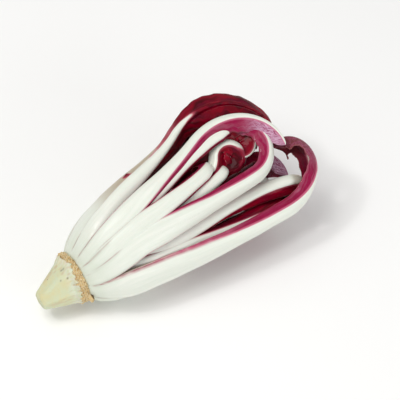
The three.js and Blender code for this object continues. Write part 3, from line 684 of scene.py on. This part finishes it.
def blade_colour(g, grain, dark, lavender, brown, margin, streak, veins):
    """Wine and magenta with long streaks, and lavender or brown where the leaf has it."""
    depth = g.math("ADD", dark, g.remap(streak, 0.3, 0.7, -0.25, 0.25), clamp=True)
    blade = g.mixed(depth, MAGENTA, WINE)
    glow = g.noise(g.stretch(grain, (0.3, 1.3, 1.0)), 1.5, 2.0, 0.5)
    lit = g.math("MULTIPLY", g.remap(glow, 0.40, 0.62), g.math("MULTIPLY", depth, 0.8))
    blade = g.mixed(lit, blade, WINE_BRIGHT)
    sheen = g.math("MULTIPLY", g.remap(streak, 0.5, 0.68), g.math("SUBTRACT", 1.0, depth, clamp=True))
    blade = g.mixed(g.math("MULTIPLY", sheen, 0.5), blade, MAGENTA_SHEEN)
    silk = g.noise(g.stretch(grain, (1.0, 5.0, 1.0)), 3.2, 5.0, 0.6, 0.6)
    blade = g.mixed(g.math("MULTIPLY", lavender, 0.6), blade, LAVENDER_DEEP)
    blade = g.mixed(g.math("MULTIPLY", lavender, g.remap(silk, 0.38, 0.62)), blade, LAVENDER)
    vein_share = g.math("MULTIPLY", veins, g.remap(depth, 0.0, 1.0, 0.10, 0.0))
    blade = g.mixed(vein_share, blade, VEIN)
    mottle = g.noise(grain, 5.0, 4.0, 0.6)
    blade = g.mixed(g.math("MULTIPLY", brown, g.remap(mottle, 0.35, 0.6)), blade, BROWN)
    return g.mixed(g.math("MULTIPLY", margin, 0.45), blade, BLADE_EDGE)


def leaf_material(name, roughness):
    """Ivory rib, and blades between magenta, wine and lavender, as the leaf's attributes say."""
    g = Graph(name)
    pigment, dark, lavender, tan = g.parts("dye")
    green, _, brown, margin = g.parts("stain")
    grain = g.attribute("grain").outputs["Vector"]
    fibre = g.noise(g.stretch(grain, (0.6, 8.0, 1.0)), 5.0, 4.0, 0.6)
    ridge = g.noise(g.stretch(grain, (0.10, 1.0, 1.0)), 7.0, 3.0, 0.5, 0.2)
    streak = g.noise(g.stretch(grain, (0.06, 1.0, 1.0)), 3.0, 3.0, 0.55, 0.4)
    veins = vein_net(g, grain)
    rib = rib_colour(g, grain, tan, fibre, ridge, streak, margin, green)
    blade = blade_colour(g, grain, dark, lavender, brown, margin, streak, veins)
    # the pigment runs out into the rib in fine strokes
    partly = g.math("MULTIPLY", pigment, g.math("SUBTRACT", 1.0, pigment))
    frayed = g.math("MULTIPLY", g.remap(fibre, 0.3, 0.7, -0.5, 0.5), partly)
    edge = g.math("ADD", pigment, frayed, clamp=True)
    strokes = g.math("POWER", edge, 0.55, clamp=True)
    fringe = g.mixed(g.remap(dark, 0.0, 1.0), FRINGE, FRINGE_DARK)
    colour = g.mixed(g.remap(strokes, 0.0, 0.45), rib, fringe)
    colour = g.mixed(g.remap(strokes, 0.35, 1.0), colour, blade)
    g.feed(g.shader.inputs["Base Color"], colour)
    # fine ridges, and a wet shine that is stronger on the blades
    matt = g.remap(ridge, 0.2, 0.8, roughness - 0.05, roughness + 0.1)
    g.feed(g.shader.inputs["Roughness"], g.math("ADD", matt, g.math("MULTIPLY", strokes, -0.08)))
    height = g.math("MULTIPLY", streak, g.remap(strokes, 0.0, 1.0, 0.15, 1.0))
    height = g.math("ADD", height, g.math("MULTIPLY", ridge, g.remap(strokes, 0.0, 1.0, 0.15, 0.3)))
    height = g.math("ADD", height, g.math("MULTIPLY", fibre, 0.08))
    height = g.math("ADD", height, g.math("MULTIPLY", g.math("MULTIPLY", veins, strokes), 0.06))
    g.feed(g.shader.inputs["Normal"], g.bump(height, 0.5, 0.001))
    g.feed(g.shader.inputs["Specular IOR Level"], g.remap(strokes, 0.0, 1.0, 0.4, 0.0))
    wet = g.math("MULTIPLY", g.remap(strokes, 0.0, 1.0, 0.25, 1.0), g.remap(dark, 0.5, 1.0, 0.2, 0.27))
    g.feed(g.shader.inputs["Coat Weight"], wet)
    g.shader.inputs["Coat Roughness"].default_value = 0.1
    g.soften(*LEAF_DEPTH)
    return g.material


def root_material():
    """A peeled pale cone and a torn brown collar."""
    g = Graph("taproot_skin")
    collar, ragged, hole_shade_and_specks, stain = g.parts("dye")
    grain = g.attribute("grain").outputs["Vector"]
    place = g.attribute("place").outputs["Vector"]
    streak = g.noise(g.stretch(grain, (0.7, 3.5, 1.0)), 2.2, 5.0, 0.6)
    shred = g.noise(g.stretch(grain, (1.6, 6.0, 1.0)), 3.0, 5.0, 0.65, 0.8)
    cloud = g.noise(place, 1.0, 4.0, 0.6, 0.4)
    fine = g.noise(place, 8.0, 5.0, 0.7)
    # the peeled cone: pale green and cream, with stains and pits
    pale = g.mixed(g.remap(cloud, 0.36, 0.66), PEELED_GREEN, PEELED_CREAM)
    pale = g.mixed(g.math("MULTIPLY", ragged, g.remap(streak, 0.38, 0.6)), pale, PEELED_PALE)
    pale = g.mixed(g.math("MULTIPLY", stain, 0.6), pale, STAIN)
    pits = g.node("ShaderNodeTexVoronoi", {"Vector": g.stretch(place, (0.8, 1.2, 1.2)), "Scale": 2.3})
    pit = g.remap(pits.outputs["Distance"], 0.13, 0.05)
    pitted = g.math("MULTIPLY", pit, g.math("MULTIPLY", stain, 1.6, clamp=True))
    pale = g.mixed(pitted, pale, PIT)
    # the torn collar: brown cork with paler shreds
    cork = g.mixed(g.remap(shred, 0.36, 0.64), CORK_PALE, CORK)
    cork = g.mixed(g.math("MULTIPLY", ragged, g.remap(fine, 0.4, 0.62)), cork, CORK_SHRED)
    cork = g.mixed(g.remap(cloud, 0.52, 0.72, 0.0, 0.7), cork, CORK_DARK)
    cork = g.mixed(g.remap(fine, 0.56, 0.70), cork, CORK_CRUMB)
    colour = g.mixed(collar, pale, cork)
    # painted shade in the stub's open middle, and the dark specks
    colour = g.mixed(hole_shade_and_specks, colour, HOLE_SHADE_AND_SPECK)
    g.feed(g.shader.inputs["Base Color"], colour)
    g.feed(g.shader.inputs["Roughness"], g.remap(fine, 0.2, 0.8, 0.45, 0.75))
    rough = g.math("MULTIPLY", g.math("ADD", fine, shred), g.math("ADD", collar, 0.1))
    rough = g.math("ADD", rough, g.math("MULTIPLY", streak, 0.35))
    g.feed(g.shader.inputs["Normal"], g.bump(rough, 0.7, 0.0012))
    g.soften(*ROOT_DEPTH)
    return g.material


IVORY_ROUGHNESS, WINE_ROUGHNESS = 0.38, 0.30
leaf_materials = {
    "ivory_leaf": leaf_material("ivory_leaf_skin", IVORY_ROUGHNESS),
    "wine_leaf": leaf_material("wine_leaf_skin", WINE_ROUGHNESS),
}
SLOT_OF = {row["node"]: row["material_slot"] for row in frame["record"]["subparts"]}


def with_ends(values):
    """Values at the vertices of a tube, and again at the middle of each end."""
    flat = values.reshape(-1, values.shape[-1])
    return np.vstack([flat, flat[:1], flat[-1:]])


NUB_RADIUS, NUB_RISE = 2.3, 2.0


def build_leaf(leaf, seed):
    """One leaf as an object, under the root's body in place of its CAD part."""
    rng = np.random.default_rng(seed)
    points, rows, masks, apart = leaf_arrays(leaf, rng)
    dye, stain, touch = dyes(leaf, masks, rows, apart, rng)
    if "nub" in leaf:  # a wine-red nub, where a torn-off leaflet grew
        near = np.exp(-(np.linalg.norm(points - leaf["nub"], axis=-1) / NUB_RADIUS) ** 2)
        points = points + (NUB_RISE * near)[..., None] * unit(np.array([0, *leaf["nub"][1:]]))
        dye[..., 0] = np.maximum(dye[..., 0], smooth(near * 2.2 - 0.4))
    n, m = points.shape[:2]
    gaps = np.linalg.norm(np.diff(points, axis=1), axis=2)
    around_mm = np.concatenate([np.zeros((n, 1)), np.cumsum(gaps, axis=1)], 1)
    middle = around_mm[:, masks.shape[0] // 2][:, None]
    along_mm = np.repeat(rows["run"][:, None], m, 1)
    grain = np.stack([along_mm, around_mm - middle, np.full((n, m), seed * 37.0)], -1) * 0.1

    slot = SLOT_OF[leaf["name"]]
    piece = add_mesh(leaf["name"] + "_skin", with_middles(to_part(points)), tube_faces(n, m), {
        "dye": ("FLOAT_COLOR", with_ends(dye)),
        "stain": ("FLOAT_COLOR", with_ends(stain)),
        "touch": ("FLOAT_COLOR", with_ends(touch)),
        "grain": ("FLOAT_VECTOR", with_ends(grain)),
    }, leaf_materials[slot])
    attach(piece, "root")
    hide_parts(leaf["name"])


ALL_LEAVES = NEAR_LEAVES + far_leaves()
OUTER_LEAVES = [leaf for leaf in ALL_LEAVES if leaf["crown"][1] == 1]
for leaf in OUTER_LEAVES:
    note_swelling(leaf)
for number, leaf in enumerate(ALL_LEAVES):
    build_leaf(leaf, number + 1)


# ---------------------------------------------------------------- taproot with its collar
COLLAR_FRONT = [(5.8, 18.6), (6.4, 14.2), (9, 13), (14, 9), (17.5, 4)]  # x and radius, hidden by the leaves
ROOT_TIP = ROOT_PROFILE[0][0]  # x
ROOT_ROWS, ROOT_COLUMNS, ROOT_SEED = 190, 260, 77
FLATS = 7  # knife cuts round the peeled cone
PEEL_END, COLLAR_END = -2.5, 4.8  # x where the peeling stops, and where the collar does
STUB_X, STUB_AZIMUTH = 4.4, 2.76  # remains of a leaf stalk on the collar
STUB_RADIUS, STUB_RISE = 3.1, 3.2
# x, azimuth, radius and darkness
ROOT_SPECKS = [(-6.2, 0.93, 0.9, 0.6), (-4.8, 0.97, 0.9, 0.6), (-10.7, 1.32, 0.6, 0.6),
               (-5.8, 1.43, 0.7, 0.7)]


def uneven(rng, along, azimuth, waves_round, tilt):
    """A sum of sines over the round surface, about -1 to 1; waves_round is a range of whole waves."""
    total = np.zeros_like(azimuth)
    for _ in range(24):
        count = rng.integers(*waves_round)
        total += np.sin(count * azimuth + rng.uniform(-tilt, tilt) * along + rng.uniform(0, 6.28))
    return total / 24**0.5


def root_grid():
    """x, azimuth and radius of the smooth root, over its rows and columns."""
    profile = np.array(ROOT_PROFILE + COLLAR_FRONT, float)
    run = np.concatenate([[0], np.cumsum(np.linalg.norm(np.diff(profile, axis=0), axis=1))])
    s = np.linspace(0, run[-1], ROOT_ROWS)
    x = np.interp(s, run, profile[:, 0])
    radius = np.interp(s, run, profile[:, 1])
    for _ in range(2):
        radius[1:-1] = 0.25 * radius[:-2] + 0.5 * radius[1:-1] + 0.25 * radius[2:]
    azimuth = np.linspace(0, 2 * np.pi, ROOT_COLUMNS, endpoint=False)
    return x[:, None] + 0 * azimuth[None], azimuth[None] + 0 * s[:, None], radius[:, None] + 0 * azimuth


def peeled(rng, x, azimuth, radius, edge):
    """The cone below the edge, cut by flats at uneven angles, each a little hollow."""
    flats = np.full_like(radius, 1e9)
    for k in range(FLATS):
        centre = k * 2 * np.pi / FLATS + rng.uniform(-0.26, 0.26)
        depth, slant = rng.uniform(0.82, 0.96), rng.uniform(-0.012, 0.012)
        off = azimuth - centre - slant * x
        spread = np.arctan2(np.sin(off), np.cos(off))
        flats = np.minimum(flats, radius * depth / np.maximum(0.36, np.cos(np.clip(spread, -1.2, 1.2))))
    return mix(radius, np.minimum(radius * 1.02, flats), smooth((edge - x) / 2.2))


def shaded_hole_and_specks(x, azimuth, radius):
    """Dark places: painted shade in the open middle of the stub, and the specks."""
    opening = np.hypot(x - STUB_X - 1.1, radius * (azimuth - STUB_AZIMUTH + 0.13)) / STUB_RADIUS
    dark = smooth((0.5 - opening) / 0.22)
    for at, turn, size, strength in ROOT_SPECKS:
        off = (x - at) ** 2 + (radius * (azimuth - turn)) ** 2
        dark = np.maximum(dark, strength * np.exp(-off / size**2))
    return dark


def root_arrays():
    """Vertices in the head frame, and what colours them: collar, ragged, painted shade of the stub's hole
    with the specks, stain; and the grain.
    """
    rng = np.random.default_rng(ROOT_SEED)
    x, azimuth, radius = root_grid()
    broad = uneven(rng, x, azimuth, (2, 7), 0.25)
    lumps = uneven(rng, x, azimuth, (9, 26), 1.1)
    crumbs = uneven(rng, x, azimuth, (30, 70), 3.0)
    edge = PEEL_END + 1.7 * np.cos(azimuth - 0.8) + 1.0 * broad
    radius = peeled(rng, x, azimuth, radius, edge)
    # the collar is torn: its rims wander, and ragged ends of cut leaves stand up on it
    collar = smooth((x - edge + 0.9 * lumps) / 0.9)
    collar = collar * (1 - smooth((x - COLLAR_END - 0.9 * broad - 0.6 * lumps) / 1.6))
    rings = np.sin(x * 3.6 + 2.2 * broad + 1.2 * lumps)
    radius = radius + collar * (0.45 * lumps + 0.4 * crumbs + 0.2 * rings + 0.5 * broad - 0.5)
    radius = radius + (1 - collar) * (0.10 * broad + 0.03 * crumbs) * smooth((x - ROOT_TIP) / 3)
    bend = np.clip(x / ROOT_TIP, 0, 1)
    y = radius * np.cos(azimuth) + ROOT_BEND[1] * bend
    z = radius * np.sin(azimuth) + ROOT_BEND[2] * bend
    # the stub is hollow in the middle
    away = np.hypot(x - STUB_X, radius * (azimuth - STUB_AZIMUTH)) / STUB_RADIUS
    rim = np.exp(-((away - 0.55) / 0.3) ** 2) + 0.5 * np.exp(-(away / 0.9) ** 2)
    outward = np.stack([np.zeros_like(x), np.cos(azimuth), np.sin(azimuth)], -1)
    points = np.stack([x, y, z], -1) + outward * (STUB_RISE * rim * (away < 2))[..., None]
    stain = smooth((0.7 * lumps * smooth((x + 20) / 14) + 0.5 * broad - 0.25) / 0.9) * (1 - collar)
    ragged = mix(0.55 * smooth(1 - (edge - x) / 9), smooth((rings + crumbs + 1) / 2), collar)
    dye = np.stack([collar, ragged, shaded_hole_and_specks(x, azimuth, radius), stain], -1).clip(0, 1)
    return points, dye, np.stack([x, azimuth * 12, radius], -1) * 0.1


def build_root():
    """The taproot with its collar as one object."""
    points, dye, grain = root_arrays()
    faces = [face[::-1] for face in tube_faces(ROOT_ROWS, ROOT_COLUMNS)]
    piece = add_mesh("taproot_skin", with_middles(to_part(points)), faces, {
        "dye": ("FLOAT_COLOR", with_ends(dye)),
        "grain": ("FLOAT_VECTOR", with_ends(grain)),
        "place": ("FLOAT_VECTOR", with_ends(points * 0.1)),
    }, root_material())
    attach(piece, "root")
    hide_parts("taproot")


build_root()

# ---------------------------------------------------------------- floor, light and camera
scene = bpy.context.scene
scene.view_settings.view_transform = "Standard"

FLOOR = 6  # m from its middle to each side
PAPER, PAPER_LIGHT = (0.95, 0.95, 0.94), (0.97, 0.97, 0.96)
STUDIO_LIGHT = 0.54
floor_graph = Graph("floor_paper")
floor_place = floor_graph.node("ShaderNodeTexCoord").outputs["Object"]
cloudy = floor_graph.noise(floor_place, 6.0, 2.0)
paper = floor_graph.mixed(cloudy, PAPER, PAPER_LIGHT)
floor_graph.feed(floor_graph.shader.inputs["Base Color"], paper)
floor_graph.shader.inputs["Roughness"].default_value = 0.9
floor_mesh = bpy.data.meshes.new("floor")
floor_corners = [(-FLOOR, -FLOOR, 0), (FLOOR, -FLOOR, 0), (FLOOR, FLOOR, 0), (-FLOOR, FLOOR, 0)]
floor_mesh.from_pydata(floor_corners, [], [(0, 1, 2, 3)])
floor_mesh.materials.append(floor_graph.material)
floor = bpy.data.objects.new("floor", floor_mesh)
scene.collection.objects.link(floor)

world = bpy.data.worlds.new("studio")
world.use_nodes = True
world.node_tree.nodes["Background"].inputs["Color"].default_value = (1.0, 1.0, 1.0, 1)
world.node_tree.nodes["Background"].inputs["Strength"].default_value = STUDIO_LIGHT
scene.world = world

VIEW_AZIMUTH, VIEW_ELEVATION, VIEW_DISTANCE = np.radians(-32.8), np.radians(52), 2.0
VIEW_TARGET = np.array([0.02547, -0.0070, 0.0490])
LENS, SENSOR = 239.4, 36  # mm
right = np.array([np.cos(VIEW_AZIMUTH), np.sin(VIEW_AZIMUTH), 0])
level = np.array([-np.sin(VIEW_AZIMUTH), np.cos(VIEW_AZIMUTH), 0])
sight = level * np.cos(VIEW_ELEVATION) - np.array([0, 0, np.sin(VIEW_ELEVATION)])
upward = np.cross(right, sight)


def area_light(name, direction, distance, size, watts, colour):
    """A square lamp that looks at the head; direction is (right, up, towards the camera)."""
    data = bpy.data.lights.new(name, "AREA")
    data.size, data.energy, data.color = size, watts, colour
    lamp = bpy.data.objects.new(name, data)
    way = unit(right * direction[0] + upward * direction[1] - sight * direction[2])
    lamp.location = VIEW_TARGET + way * distance
    lamp.rotation_mode = "QUATERNION"
    lamp.rotation_quaternion = Vector(-way).to_track_quat("-Z", "Y")
    scene.collection.objects.link(lamp)


area_light("key", (-0.35, 0.5, 1.0), 1.6, 0.9, 11, (1.0, 0.99, 0.97))
area_light("fill", (0.8, -0.45, 0.75), 1.8, 1.0, 8.5, (0.97, 0.98, 1.0))
area_light("glint", (-0.5, 0.35, 0.8), 1.4, 0.14, 2.2, (1.0, 1.0, 1.0))

camera_data = bpy.data.cameras.new("camera")
camera_data.lens, camera_data.sensor_width = LENS, SENSOR
camera_data.clip_start, camera_data.clip_end = 0.05, 50
camera = bpy.data.objects.new("camera", camera_data)
camera.location = VIEW_TARGET - sight * VIEW_DISTANCE
camera.rotation_mode = "QUATERNION"
camera.rotation_quaternion = Vector(sight).to_track_quat("-Z", "Y")
scene.collection.objects.link(camera)
scene.camera = camera
